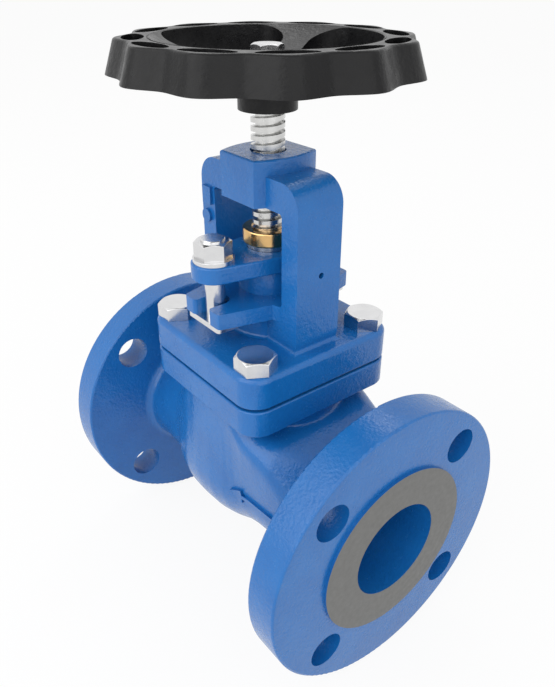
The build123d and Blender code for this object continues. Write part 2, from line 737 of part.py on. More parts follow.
with BuildPart() as gland_bush:
    revolve(tube_section(GLAND_BUSH_R, STEM_R + RUNNING, PACKING_TOP, GLAND_BUSH_TOP), axis=STEM_AXIS)
save(gland_bush.part, "gland_bush")

nut_bottom = GLAND_TOP + GLAND_WASHER_T
for number, bolt_y in ((1, GLAND_BOLT_Y), (2, -GLAND_BOLT_Y)):
    with BuildPart() as gland_bolt:
        with BuildSketch(Plane((STEM_X, bolt_y, LUG_BOTTOM - GLAND_HEAD_H))):
            RectangleRounded(GLAND_HEAD_X, GLAND_HEAD_Y, 2)
        extrude(amount=GLAND_HEAD_H)
        with BuildSketch(Plane((STEM_X, bolt_y, LUG_BOTTOM))):
            Circle(GLAND_BOLT_R)
        extrude(amount=GLAND_BOLT_TOP - LUG_BOTTOM)
        chamfer(gland_bolt.edges().group_by(Axis.Z)[-1], 1)
    save(gland_bolt.part, f"gland_bolt_{number}")

    with BuildPart() as gland_washer:
        with BuildSketch(Plane((STEM_X, bolt_y, GLAND_TOP))):
            Circle(GLAND_WASHER_R)
            Circle(GLAND_BOLT_R + 0.3, mode=Mode.SUBTRACT)
        extrude(amount=GLAND_WASHER_T)
    save(gland_washer.part, f"gland_washer_{number}")

    hexagon = hex_prism(Plane((STEM_X, bolt_y, nut_bottom)), GLAND_NUT_AF, GLAND_NUT_H)
    with BuildPart() as gland_nut:
        add(hexagon)
        with BuildSketch(Plane((STEM_X, bolt_y, nut_bottom))):
            Circle(GLAND_BOLT_R + RUNNING)
        extrude(amount=GLAND_NUT_H, mode=Mode.SUBTRACT)
    save(gland_nut.part, f"gland_nut_{number}")


# ---------------------------------------------------------------- handwheel
def lobed_outline(z, mean_r):
    """The handwheel's wavy outline at height z: the radius swings once for each lobe."""
    points = []
    for step in range(4 * WHEEL_LOBES):
        angle = 2 * pi * step / (4 * WHEEL_LOBES)
        radius = mean_r + WHEEL_LOBE * cos(WHEEL_LOBES * angle)
        points.append((radius * cos(angle), radius * sin(angle)))
    with BuildSketch(stem_plane(z)) as outline:
        with BuildLine():
            Spline(*points, periodic=True)
        make_face()
    return outline.sketch


top_mean_r = WHEEL_R - (WHEEL_TOP - WHEEL_BOTTOM) * tan(radians(WHEEL_DRAFT))
with BuildPart() as handwheel:
    # rim with the lobed outer wall, drafted inwards to the top
    loft([lobed_outline(WHEEL_BOTTOM, WHEEL_R), lobed_outline(WHEEL_TOP, top_mean_r)])
    with BuildSketch(stem_plane(WHEEL_BOTTOM)):
        Circle(RIM_INNER_R)
    extrude(amount=WHEEL_TOP - WHEEL_BOTTOM, mode=Mode.SUBTRACT)
    fillet(handwheel.edges().group_by(Axis.Z)[-1], WHEEL_EDGE_R)
    # grip pockets sunk into the rim's top, one in each lobe
    with BuildSketch(stem_plane(WHEEL_TOP)):
        with PolarLocations(RIM_POCKET_R, WHEEL_LOBES):
            Ellipse(4.8, 12.2)
    extrude(amount=-RIM_POCKET_DEPTH, mode=Mode.SUBTRACT)
    # dished web between hub and rim, thinned to three spokes by three windows
    with BuildSketch(stem_side_plane()):
        with BuildLine():
            Spline(
                (HUB_R - 2, HUB_TOP),
                (HUB_R + 14, HUB_TOP + 2.4),
                (RIM_INNER_R + 0.5, WHEEL_TOP - 0.01),
                tangents=((1, 0), (1, 0.45)),
            )
            Polyline(
                (RIM_INNER_R + 0.5, WHEEL_TOP - 0.01),
                (RIM_INNER_R + 0.5, WHEEL_TOP - SPOKE_T - 1),
            )
            Spline(
                (RIM_INNER_R + 0.5, WHEEL_TOP - SPOKE_T - 1),
                (HUB_R + 14, HUB_TOP + 2.4 - SPOKE_T),
                (HUB_R - 2, HUB_TOP - SPOKE_T - 6),
                tangents=((-1, -0.45), (-1, -0.9)),
            )
            Line((HUB_R - 2, HUB_TOP - SPOKE_T - 6), (HUB_R - 2, HUB_TOP))
        make_face()
    revolve(axis=STEM_AXIS)
    with BuildSketch(stem_plane(HUB_BOTTOM)):
        Circle(RIM_INNER_R)
        Circle(HUB_R + 5, mode=Mode.SUBTRACT)
        with PolarLocations(0, SPOKES, start_angle=60):
            Rectangle(
                RIM_INNER_R + 5, 2 * SPOKE_HALF, align=(Align.MIN, Align.CENTER), mode=Mode.SUBTRACT
            )
        outer_corners = vertices().filter_by(lambda corner: (corner.X**2 + corner.Y**2) > 30**2)
        inner_corners = vertices().filter_by(lambda corner: (corner.X**2 + corner.Y**2) < 30**2)
        fillet(outer_corners, SPOKE_FLARE_R)
        fillet(inner_corners, 4)
    extrude(amount=WHEEL_TOP - HUB_BOTTOM, mode=Mode.SUBTRACT)
    # hub with the square for the stem
    with BuildSketch(stem_plane(HUB_BOTTOM)):
        Circle(HUB_R)
    extrude(amount=HUB_TOP - HUB_BOTTOM)
    with BuildSketch(stem_plane(HUB_BOTTOM)):
        Rectangle(SQUARE, SQUARE)
    extrude(amount=HUB_TOP - HUB_BOTTOM, mode=Mode.SUBTRACT)
save(handwheel.part, "handwheel")

washer_top = HUB_TOP + WHEEL_WASHER_T
with BuildPart() as handwheel_washer:
    revolve(tube_section(WHEEL_WASHER_R, WHEEL_BOLT_R, HUB_TOP, washer_top), axis=STEM_AXIS)
save(handwheel_washer.part, "handwheel_washer")

head = hex_prism(stem_plane(washer_top), WHEEL_BOLT_AF, WHEEL_BOLT_HEAD_H)
with BuildPart() as handwheel_bolt:
    with BuildSketch(stem_plane(WHEEL_BOLT_END)):
        Circle(WHEEL_BOLT_R)
    extrude(amount=washer_top - WHEEL_BOLT_END)
    add(head)
save(handwheel_bolt.part, "handwheel_bolt")
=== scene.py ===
"""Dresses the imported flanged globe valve.

The casings are sand castings under paint, the stem has a trapezoidal thread, the fasteners are
zinc plated, and the handwheel is a lobed black casting. All lengths are in metres, in the frame
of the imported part: +X runs with the flow, +Z runs up the stem.
"""

import json
import logging
import math
from dataclasses import astuple, dataclass
from enum import Enum

import bmesh
import bpy
from mathutils import Matrix, Vector
from mathutils.bvhtree import BVHTree

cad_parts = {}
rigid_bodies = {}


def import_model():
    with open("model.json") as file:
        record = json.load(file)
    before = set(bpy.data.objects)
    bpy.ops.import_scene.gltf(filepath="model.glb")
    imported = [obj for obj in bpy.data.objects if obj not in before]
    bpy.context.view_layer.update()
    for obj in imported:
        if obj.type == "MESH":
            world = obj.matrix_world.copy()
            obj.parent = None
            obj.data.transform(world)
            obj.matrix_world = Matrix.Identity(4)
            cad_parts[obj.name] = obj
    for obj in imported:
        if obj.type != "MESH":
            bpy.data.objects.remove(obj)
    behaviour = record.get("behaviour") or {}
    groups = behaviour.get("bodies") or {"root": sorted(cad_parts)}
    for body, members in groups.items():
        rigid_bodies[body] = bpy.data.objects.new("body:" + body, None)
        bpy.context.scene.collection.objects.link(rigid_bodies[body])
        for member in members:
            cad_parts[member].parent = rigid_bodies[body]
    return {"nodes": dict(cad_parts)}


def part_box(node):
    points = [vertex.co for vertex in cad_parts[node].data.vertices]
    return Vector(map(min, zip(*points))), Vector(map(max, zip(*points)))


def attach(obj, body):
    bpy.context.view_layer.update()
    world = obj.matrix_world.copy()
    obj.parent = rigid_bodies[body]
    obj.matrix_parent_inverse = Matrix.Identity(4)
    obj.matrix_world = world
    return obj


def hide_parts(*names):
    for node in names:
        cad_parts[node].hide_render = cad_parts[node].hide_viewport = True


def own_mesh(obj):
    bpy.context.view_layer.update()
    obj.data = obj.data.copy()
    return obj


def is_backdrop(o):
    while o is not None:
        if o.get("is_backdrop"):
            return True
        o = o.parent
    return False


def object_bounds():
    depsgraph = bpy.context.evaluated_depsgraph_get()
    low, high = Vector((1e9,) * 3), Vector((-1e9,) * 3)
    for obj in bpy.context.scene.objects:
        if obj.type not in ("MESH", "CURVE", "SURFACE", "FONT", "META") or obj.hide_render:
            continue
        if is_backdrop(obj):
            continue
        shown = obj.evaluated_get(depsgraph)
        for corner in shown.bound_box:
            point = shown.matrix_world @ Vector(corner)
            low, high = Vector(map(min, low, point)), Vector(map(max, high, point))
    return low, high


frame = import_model()

MM = 0.001
CUT_SNAP = 1e-7
WELD = 0.002 * MM
FLAT = math.radians(0.6)
NOISE_SPAN = (0.3, 0.7)
NOISE_ROUGHNESS = 0.55
LOG = logging.getLogger("valve")
Point = tuple[float, float, float]
Colour = tuple[float, float, float]


# ---------------------------------------------------------------- places read from the frame
def middle(node: str) -> Vector:
    """The centre of a CAD node's box."""
    low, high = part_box(node)
    return (low + high) / 2


def bottom(node: str) -> float:
    """The height of a CAD node's lowest point."""
    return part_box(node)[0].z


def top(node: str) -> float:
    """The height of a CAD node's highest point."""
    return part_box(node)[1].z


STEM_AXIS = middle("seat_ring")


# ---------------------------------------------------------------- finishes
class NodeTree:
    """A material's node tree, with short calls for the nodes that the finishes share."""

    def __init__(self, name: str) -> None:
        """Start an empty material.

        Args:
            name: the material's name.
        """
        self.material = bpy.data.materials.new(name)
        self.material.use_nodes = True
        self.nodes = self.material.node_tree.nodes
        self.links = self.material.node_tree.links
        self.nodes.clear()
        self.output = self.nodes.new("ShaderNodeOutputMaterial")
        self.shader = self.nodes.new("ShaderNodeBsdfPrincipled")
        self.links.new(self.shader.outputs[0], self.output.inputs["Surface"])
        self.place = self.nodes.new("ShaderNodeTexCoord").outputs["Object"]

    def set(self, **values: object) -> None:
        """Set the shader's own sockets; an underscore in a name stands for a space."""
        for name, value in values.items():
            socket = self.shader.inputs[name.replace("_", " ")]
            socket.default_value = (*value, 1.0) if isinstance(value, tuple) else value

    def noise(self, size: float, detail: float = 3.0) -> bpy.types.NodeSocket:
        """Noise whose lumps are about the given size across.

        Args:
            size: the width of a lump.
            detail: how many finer layers are added.

        Returns:
            The noise's value socket.
        """
        node = self.nodes.new("ShaderNodeTexNoise")
        node.inputs["Scale"].default_value = 1.0 / size
        node.inputs["Detail"].default_value = detail
        node.inputs["Roughness"].default_value = NOISE_ROUGHNESS
        self.links.new(self.place, node.inputs["Vector"])
        return node.outputs["Fac"]

    def moved(self, centre: Vector) -> bpy.types.NodeSocket:
        """Object coordinates about another centre."""
        node = self.nodes.new("ShaderNodeMapping")
        node.vector_type = "TEXTURE"
        node.inputs["Location"].default_value = centre
        self.links.new(self.place, node.inputs["Vector"])
        return node.outputs["Vector"]

    def ramp(
        self, value: bpy.types.NodeSocket, stops: list[tuple[float, Colour]]
    ) -> bpy.types.NodeSocket:
        """A colour ramp through the given stops."""
        node = self.nodes.new("ShaderNodeValToRGB")
        while len(node.color_ramp.elements) < len(stops):
            node.color_ramp.elements.new(0.5)
        for element, (position, colour) in zip(node.color_ramp.elements, stops):
            element.position = position
            element.color = (*colour, 1.0)
        self.links.new(value, node.inputs["Fac"])
        return node.outputs["Color"]

    def between(self, value: bpy.types.NodeSocket, low: float, high: float) -> bpy.types.NodeSocket:
        """A noise value, which lies within NOISE_SPAN, spread from low to high."""
        node = self.nodes.new("ShaderNodeMapRange")
        node.inputs["From Min"].default_value = NOISE_SPAN[0]
        node.inputs["From Max"].default_value = NOISE_SPAN[1]
        node.inputs["To Min"].default_value = low
        node.inputs["To Max"].default_value = high
        self.links.new(value, node.inputs["Value"])
        return node.outputs["Result"]

    def bump(self, height: bpy.types.NodeSocket, depth: float) -> None:
        """Press a height into the surface, over any bump that is there already."""
        node = self.nodes.new("ShaderNodeBump")
        node.inputs["Strength"].default_value = 1.0
        node.inputs["Distance"].default_value = depth
        self.links.new(height, node.inputs["Height"])
        if self.shader.inputs["Normal"].is_linked:
            self.links.new(self.shader.inputs["Normal"].links[0].from_socket, node.inputs["Normal"])
        self.links.new(node.outputs["Normal"], self.shader.inputs["Normal"])

    def drive(self, name: str, socket: bpy.types.NodeSocket) -> None:
        """Link a socket into one of the shader's inputs."""
        self.links.new(socket, self.shader.inputs[name])


@dataclass(frozen=True)
class CastPaint:
    """Paint over a sand-cast skin: small pits and a slow wave, with the gloss broken by both.

    The gloss runs from gloss_low under the roughness to gloss_high over it, in lumps as wide as
    gloss_lump, and the two colours mix in blotches as wide as blotch.
    """

    name: str
    colour: Colour
    deep: Colour
    roughness: float
    grain: float = 1.6 * MM
    grain_depth: float = 0.24 * MM
    wave: float = 6 * MM
    wave_depth: float = 0.14 * MM
    shine: float = 0.5
    blotch: float = 18 * MM
    gloss_lump: float = 4 * MM
    gloss_low: float = 0.04
    gloss_high: float = 0.08

    def material(self) -> bpy.types.Material:
        """Make the paint's material."""
        tree = NodeTree(self.name)
        tree.set(Specular_IOR_Level=self.shine, IOR=1.5)
        blotches = tree.noise(self.blotch, 4)
        tree.drive("Base Color", tree.ramp(blotches, [(0.3, self.deep), (0.65, self.colour)]))
        low, high = self.roughness - self.gloss_low, self.roughness + self.gloss_high
        tree.drive("Roughness", tree.between(tree.noise(self.gloss_lump), low, high))
        tree.bump(tree.noise(self.wave, 2), self.wave_depth)
        tree.bump(tree.noise(self.grain, 2), self.grain_depth)
        return tree.material


class TurnedAxis(Enum):
    """The direction of the axis that a turned surface was cut about."""

    ALONG_STEM = "Z"
    ALONG_PIPE = "X"


@dataclass(frozen=True)
class Metal:
    """Bare or plated metal, with handling marks and, where it was turned, fine tool rings."""

    name: str
    colour: Colour
    roughness: float
    spread: float = 0.08
    ring_pitch: float = 0.0
    ring_depth: float = 0.0
    axis: TurnedAxis = TurnedAxis.ALONG_STEM
    metallic: float = 1.0
    centre: Point = (0.0, 0.0, 0.0)
    cloud: float = 6 * MM
    cloud_dark: float = 0.95
    smear: float = 2.5 * MM
    scratch: float = 0.5 * MM
    scratch_depth: float = 0.0015 * MM

    def material(self) -> bpy.types.Material:
        """Make the metal's material."""
        tree = NodeTree(self.name)
        tree.set(Metallic=self.metallic)
        darker = tuple(self.cloud_dark * part for part in self.colour)
        stops = [(0.35, darker), (0.6, self.colour)]
        tree.drive("Base Color", tree.ramp(tree.noise(self.cloud, 4), stops))
        smears = tree.noise(self.smear, 3)
        tree.drive("Roughness", tree.between(smears, self.roughness, self.roughness + self.spread))
        tree.bump(tree.noise(self.scratch, 2), self.scratch_depth)
        if self.ring_depth:
            rings = tree.nodes.new("ShaderNodeTexWave")
            rings.wave_type = "RINGS"
            rings.rings_direction = self.axis.value
            rings.inputs["Scale"].default_value = 1 / (20 * self.ring_pitch)
            rings.inputs["Distortion"].default_value = 0.0
            tree.links.new(tree.moved(Vector(self.centre)), rings.inputs["Vector"])
            tree.bump(rings.outputs["Fac"], self.ring_depth)
        return tree.material


@dataclass(frozen=True)
class Graphite:
    """Pressed graphite: dark, dull and slightly flaky."""

    name: str = "graphite"
    dark: Colour = (0.02, 0.02, 0.022)
    pale: Colour = (0.06, 0.06, 0.065)

    def material(self) -> bpy.types.Material:
        """Make the graphite's material."""
        tree = NodeTree(self.name)
        tree.set(Metallic=0.1)
        flakes = tree.noise(0.9 * MM, 6)
        tree.drive("Base Color", tree.ramp(flakes, [(0.35, self.dark), (0.65, self.pale)]))
        tree.drive("Roughness", tree.between(flakes, 0.4, 0.7))
        tree.bump(flakes, 0.03 * MM)
        return tree.material


BLUE = CastPaint("blue_cast_paint", (0.008, 0.13, 0.405), (0.006, 0.113, 0.37), 0.2)
BLACK = CastPaint(
    "black_wheel_paint",
    (0.006, 0.006, 0.0065),
    (0.004, 0.004, 0.0045),
    0.3,
    grain=1.6 * MM,
    grain_depth=0.14 * MM,
    wave=5 * MM,
    shine=0.22,
)
ZINC = Metal("zinc_plate", (0.72, 0.72, 0.725), 0.19, 0.06)
AXIS_POINT = tuple(STEM_AXIS)
BRIGHT = Metal(
    "bright_stem_steel", (0.64, 0.64, 0.63), 0.22, 0.06, 0.35 * MM, 0.002 * MM, centre=AXIS_POINT
)
STAINLESS = Metal(
    "turned_stainless", (0.6, 0.6, 0.6), 0.28, 0.1, 0.5 * MM, 0.015 * MM, centre=AXIS_POINT
)
BRASS = Metal(
    "stop_ring_brass", (0.72, 0.46, 0.20), 0.18, 0.06, 0.4 * MM, 0.002 * MM, centre=AXIS_POINT
)
BRONZE = Metal(
    "yoke_bush_bronze", (0.52, 0.33, 0.14), 0.3, 0.1, 0.4 * MM, 0.01 * MM, centre=AXIS_POINT
)
FACING = Metal(
    "facing_cut",
    (0.17, 0.17, 0.165),
    0.42,
    0.15,
    0.8 * MM,
    0.05 * MM,
    TurnedAxis.ALONG_PIPE,
    metallic=0.6,
)
GRAPHITE = Graphite()
_MADE: dict[str, bpy.types.Material] = {}


def finish_of(finish: CastPaint | Metal | Graphite) -> bpy.types.Material:
    """The finish's material, made once."""
    if finish.name not in _MADE:
        _MADE[finish.name] = finish.material()
    return _MADE[finish.name]


# ---------------------------------------------------------------- mesh tools
def merged_copy(node: str) -> bmesh.types.BMesh:
    """A CAD node's mesh with its loose triangles joined and its flat faces made whole.

    Args:
        node: the CAD node's name.

    Returns:
        A new bmesh in the part's frame.
    """
    bm = bmesh.new()
    bm.from_mesh(frame["nodes"][node].data)
    bmesh.ops.remove_doubles(bm, verts=bm.verts, dist=WELD)
    flatten(bm)
    return bm


def flatten(bm: bmesh.types.BMesh) -> None:
    """Merge the faces of a mesh that lie in one plane."""
    bmesh.ops.dissolve_limit(
        bm, angle_limit=FLAT, use_dissolve_boundaries=False, verts=bm.verts, edges=bm.edges
    )


def round_edges(bm: bmesh.types.BMesh, radius: float, over: float = 28.0, segments: int = 2) -> None:
    """Round every edge that turns by more than the given angle.

    Args:
        bm: the mesh to change.
        radius: how far the rounding reaches from the edge.
        over: the least turn that counts as sharp, in degrees.
        segments: faces across the rounding.
    """
    limit = math.radians(over)
    sharp = [edge for edge in bm.edges if edge.is_manifold and edge.calc_face_angle(0.0) > limit]
    bmesh.ops.bevel(
        bm,
        geom=sharp,
        offset=radius,
        offset_type="OFFSET",
        segments=segments,
        profile=0.5,
        affect="EDGES",
        clamp_overlap=True,
        material=-1,
        loop_slide=True,
    )


def cut_off(bm: bmesh.types.BMesh, place: Point, normal: Point) -> list[bmesh.types.BMEdge]:
    """Cut a mesh with a plane and drop what lies on the side that the normal points to.

    Args:
        bm: the mesh to cut.
        place: a point on the plane.
        normal: the plane's normal.

    Returns:
        The edges of the cut.
    """
    cut = bmesh.ops.bisect_plane(
        bm,
        geom=[*bm.verts, *bm.edges, *bm.faces],
        dist=CUT_SNAP,
        plane_co=place,
        plane_no=normal,
        clear_outer=True,
    )["geom_cut"]
    return [part for part in cut if isinstance(part, bmesh.types.BMEdge)]


def add_shell(bm: bmesh.types.BMesh, shell: bmesh.types.BMesh) -> None:
    """Copy one mesh into another, and free it."""
    mesh = bpy.data.meshes.new("shell")
    shell.to_mesh(mesh)
    shell.free()
    bm.from_mesh(mesh)
    bpy.data.meshes.remove(mesh)


def joined(bm: bmesh.types.BMesh, other: bmesh.types.BMesh) -> bmesh.types.BMesh:
    """The union of two closed solids, as a new bmesh; both are freed."""
    holders = []
    for name, solid in (("base", bm), ("added", other)):
        mesh = bpy.data.meshes.new(name)
        solid.to_mesh(mesh)
        solid.free()
        holder = bpy.data.objects.new(name, mesh)
        bpy.context.scene.collection.objects.link(holder)
        holders.append(holder)
    union = holders[0].modifiers.new("union", "BOOLEAN")
    union.operation = "UNION"
    union.solver = "EXACT"
    union.object = holders[1]
    bpy.context.view_layer.update()
    result = bmesh.new()
    result.from_object(holders[0], bpy.context.evaluated_depsgraph_get())
    for holder in holders:
        mesh = holder.data
        bpy.data.objects.remove(holder)
        bpy.data.meshes.remove(mesh)
    return result


def fused(shells: list[bmesh.types.BMesh], voxel: float) -> bmesh.types.BMesh:
    """One even skin round several closed solids that run into each other.

    Args:
        shells: the solids, which are freed.
        voxel: the size of the skin's faces.

    Returns:
        The skin as a new bmesh.
    """
    together = bmesh.new()
    for shell in shells:
        add_shell(together, shell)
    mesh = bpy.data.meshes.new("fused")
    together.to_mesh(mesh)
    together.free()
    holder = bpy.data.objects.new("fused", mesh)
    bpy.context.scene.collection.objects.link(holder)
    remesh = holder.modifiers.new("remesh", "REMESH")
    remesh.mode = "VOXEL"
    remesh.voxel_size = voxel
    bpy.context.view_layer.update()
    bm = bmesh.new()
    bm.from_object(holder, bpy.context.evaluated_depsgraph_get())
    bpy.data.objects.remove(holder)
    bpy.data.meshes.remove(mesh)
    return bm


def open_rims(bm: bmesh.types.BMesh) -> list[list[bmesh.types.BMEdge]]:
    """The loops of edges that have a face on one side only."""
    left = {edge for edge in bm.edges if edge.is_boundary}
    rims = []
    while left:
        rim, waiting = [], [left.pop()]
        while waiting:
            edge = waiting.pop()
            rim.append(edge)
            for vert in edge.verts:
                for near in vert.link_edges:
                    if near in left:
                        left.remove(near)
                        waiting.append(near)
        rims.append(rim)
    return rims


def rim_points(rim: list[bmesh.types.BMEdge]) -> list[Vector]:
    """The places of a rim's vertices, each once."""
    return [vert.co for vert in {vert for edge in rim for vert in edge.verts}]


def rim_centre(rim: list[bmesh.types.BMEdge]) -> Vector:
    """The middle of a rim."""
    points = rim_points(rim)
    return sum(points, Vector()) / len(points)


def close_small_rims(bm: bmesh.types.BMesh, radius: float) -> None:
    """Close every open rim that is narrower than the given radius with one face."""
    for rim in open_rims(bm):
        centre = rim_centre(rim)
        if max((point - centre).length for point in rim_points(rim)) < radius:
            bmesh.ops.contextual_create(bm, geom=rim)


def weld_open_rims(bm: bmesh.types.BMesh) -> None:
    """Join the open rims of a mesh in pairs, each with the one whose middle lies nearest."""
    rims = open_rims(bm)
    LOG.info("rims to weld: %s", [len(rim) for rim in rims])
    while len(rims) > 1:
        first = rims.pop()
        other = min(rims, key=lambda rim: (rim_centre(rim) - rim_centre(first)).length)
        rims.remove(other)
        bmesh.ops.bridge_loops(bm, edges=first + other)
    bmesh.ops.recalc_face_normals(bm, faces=bm.faces)


def to_object(
    bm: bmesh.types.BMesh,
    name: str,
    body: str,
    *finishes: CastPaint | Metal | Graphite,
    smooth: float = 35.0,
) -> bpy.types.Object:
    """Turn a bmesh into a dressed object that rides on a body.

    Args:
        bm: the finished mesh, in the part's frame; it is freed.
        name: the new object's name.
        body: the CAD body that it moves with.
        *finishes: one finish for each material index.
        smooth: faces that meet at less than this many degrees are shaded as one.

    Returns:
        The new object.
    """
    mesh = bpy.data.meshes.new(name)
    bm.to_mesh(mesh)
    bm.free()
    mesh.shade_smooth()
    mesh.set_sharp_from_angle(angle=math.radians(smooth))
    for finish in finishes:
        mesh.materials.append(finish_of(finish))
    piece = bpy.data.objects.new(name, mesh)
    bpy.context.scene.collection.objects.link(piece)
    weighted = piece.modifiers.new("flat_faces_first", "WEIGHTED_NORMAL")
    weighted.keep_sharp = True
    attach(piece, body)
    LOG.info("%s: %d faces, rides on %s", name, len(mesh.polygons), body)
    return piece


# ---------------------------------------------------------------- sub-assemblies
@dataclass(frozen=True)
class SkinSection:
    """One section of the body's skin: oval below, with two rounded shoulders, wrapped by one line.

    All lengths are in millimetres; place runs from the stem axis along the flow.
    """

    place: float
    depth: float
    half_low: float
    half_width: float
    top: float
    shoulder_r: float

    def towards(self, other: "SkinSection", share: float) -> "SkinSection":
        """The section that lies a share of the way to another."""
        pairs = zip(astuple(self), astuple(other))
        return SkinSection(*(here + (there - here) * share for here, there in pairs))


@dataclass
class BodyCasting:
    """The valve body: its flanges and passages as packed, under one smooth cast skin.

    The skin runs from neck to neck as a flat-walled barrel that carries the bonnet joint, and the
    barrel's wall turns softly into the narrower inlet neck.
    """

    edge: float = 0.7 * MM
    facing_reach: float = 0.05 * MM
    neck_r: float = 34.5 * MM
    neck_cut: float = 25.8 * MM
    turret_r: float = 41.8 * MM
    joint_half: float = 46.5 * MM
    joint_corner: float = 12 * MM
    joint_bottom: float = 54 * MM
    voxel: float = 1.0 * MM
    softening: int = 8
    largest_bolt_hole: float = 12 * MM
    plate_inset: float = 1.5 * MM
    plate_height: float = 6 * MM
    neck_overlap: float = 18 * MM
    joint_tuck: float = 0.5 * MM
    arrow: tuple[tuple[float, float], ...] = (
        (49.5, 0.3),
        (75.8, 0.3),
        (75.8, -2.8),
        (84.8, 1.7),
        (75.8, 6.2),
        (75.8, 3.1),
        (49.5, 3.1),
    )
    arrow_rise: float = 1.4 * MM
    sections: tuple[SkinSection, ...] = (
        SkinSection(-82, 32.0, 32.2, 33.2, 33.4, 32),
        SkinSection(-70, 34.3, 34.4, 35.0, 35.8, 30),
        SkinSection(-60, 34.6, 35.2, 36.6, 39.0, 22),
        SkinSection(-48, 34.7, 36.0, 39.6, 43.8, 13),
        SkinSection(-38, 34.9, 36.6, 41.2, 46.0, 11),
        SkinSection(-29, 35.3, 37.2, 42.0, 49.0, 10),
        SkinSection(-20, 37.3, 38.6, 42.1, 57.0, 9),
        SkinSection(-10, 41.7, 41.5, 42.1, 64.0, 8),
        SkinSection(0, 44.6, 43.2, 42.1, 65.0, 8),
        SkinSection(12, 45.3, 43.8, 42.1, 64.0, 8),
        SkinSection(24, 45.4, 43.4, 41.0, 56.0, 14),
        SkinSection(34, 42.0, 41.0, 39.0, 48.0, 24),
        SkinSection(46, 35.4, 36.0, 36.5, 43.0, 30),
        SkinSection(60, 34.6, 34.6, 35.0, 37.5, 32),
        SkinSection(80, 32.0, 32.2, 33.2, 33.4, 32),
    )

    def ring(
        self, bm: bmesh.types.BMesh, x: float, y: float, z: float, radius: float
    ) -> list[bmesh.types.BMVert]:
        """A circle across the pipe axis.

        Args:
            bm: the mesh that it joins.
            x: its place along the pipe.
            y: its centre's place across the pipe.
            z: its centre's height.
            radius: its radius.

        Returns:
            Its vertices.
        """
        verts = bmesh.ops.create_circle(bm, segments=64, radius=radius)["verts"]
        bmesh.ops.rotate(bm, verts=verts, matrix=Matrix.Rotation(math.pi / 2, 3, "Y"))
        bmesh.ops.translate(bm, verts=verts, vec=(x, y, z))
        return verts

    def outline(self, bm: bmesh.types.BMesh, section: SkinSection) -> list[bmesh.types.BMVert]:
        """The three circles of one skin section."""
        x = STEM_AXIS.x + section.place * MM
        y = (section.half_width - section.shoulder_r) * MM
        z = (section.top - section.shoulder_r) * MM
        verts = self.ring(bm, x, 0, 0, section.depth * MM)
        bmesh.ops.scale(bm, verts=verts, vec=(1, section.half_low / section.depth, 1))
        for side in (y, -y):
            verts += self.ring(bm, x, side, z, section.shoulder_r * MM)
        return verts

    def stretch(self, start: SkinSection, end: SkinSection) -> bmesh.types.BMesh:
        """The closed solid that spans two neighbouring skin sections."""
        bm = bmesh.new()
        verts = self.outline(bm, start) + self.outline(bm, end)
        bmesh.ops.convex_hull(bm, input=verts)
        inner = [vert for vert in bm.verts if not vert.link_faces]
        bmesh.ops.delete(bm, geom=inner, context="VERTS")
        bmesh.ops.recalc_face_normals(bm, faces=bm.faces)
        return bm

    def joint_plate(self) -> bmesh.types.BMesh:
        """A rounded square plate that lies inside the joint flange and roots the skin in it."""
        bm = bmesh.new()
        half, corner = self.joint_half - self.plate_inset, self.joint_corner - self.plate_inset
        bmesh.ops.create_cube(bm, size=2 * half)
        bmesh.ops.scale(bm, verts=bm.verts, vec=(1, 1, self.plate_height / (2 * half)))
        middle_z = self.joint_bottom + self.plate_height / 2
        bmesh.ops.translate(bm, verts=bm.verts, vec=(STEM_AXIS.x, 0, middle_z))
        upright = [edge for edge in bm.edges if abs(edge.verts[0].co.z - edge.verts[1].co.z) > 1 * MM]
        bmesh.ops.bevel(
            bm, geom=upright, offset=corner, segments=8, profile=0.5, affect="EDGES", material=-1
        )
        return bm

    def skin(self) -> bmesh.types.BMesh:
        """The smooth skin, open at both necks and at the joint flange."""
        shells: list[bmesh.types.BMesh] = []
        for start, end in zip(self.sections, self.sections[1:]):
            middle_one = start.towards(end, 0.5)
            shells += [self.stretch(start, middle_one), self.stretch(middle_one, end)]
        shells.append(self.joint_plate())
        turret = bmesh.new()
        height = self.joint_bottom + 1 * MM
        bmesh.ops.create_cone(
            turret,
            cap_ends=True,
            segments=128,
            radius1=self.turret_r,
            radius2=self.turret_r,
            depth=height,
        )
        bmesh.ops.translate(turret, verts=turret.verts, vec=(STEM_AXIS.x, 0, height / 2))
        shells.append(turret)
        necks = bmesh.new()
        length = 2 * (STEM_AXIS.x - self.neck_overlap)
        bmesh.ops.create_cone(
            necks, cap_ends=True, segments=128, radius1=self.neck_r, radius2=self.neck_r, depth=length
        )
        bmesh.ops.rotate(necks, verts=necks.verts, matrix=Matrix.Rotation(math.pi / 2, 3, "Y"))
        bmesh.ops.translate(necks, verts=necks.verts, vec=(STEM_AXIS.x, 0, 0))
        shells.append(necks)
        bm = fused(shells, self.voxel)
        for _ in range(self.softening):
            bmesh.ops.smooth_vert(
                bm, verts=bm.verts, factor=0.5, use_axis_x=True, use_axis_y=True, use_axis_z=True
            )
        for place, normal in (
            ((self.neck_cut, 0, 0), (-1, 0, 0)),
            ((2 * STEM_AXIS.x - self.neck_cut, 0, 0), (1, 0, 0)),
            ((0, 0, self.joint_bottom - self.joint_tuck), (0, 0, 1)),
        ):
            cut_off(bm, place, normal)
        return bm

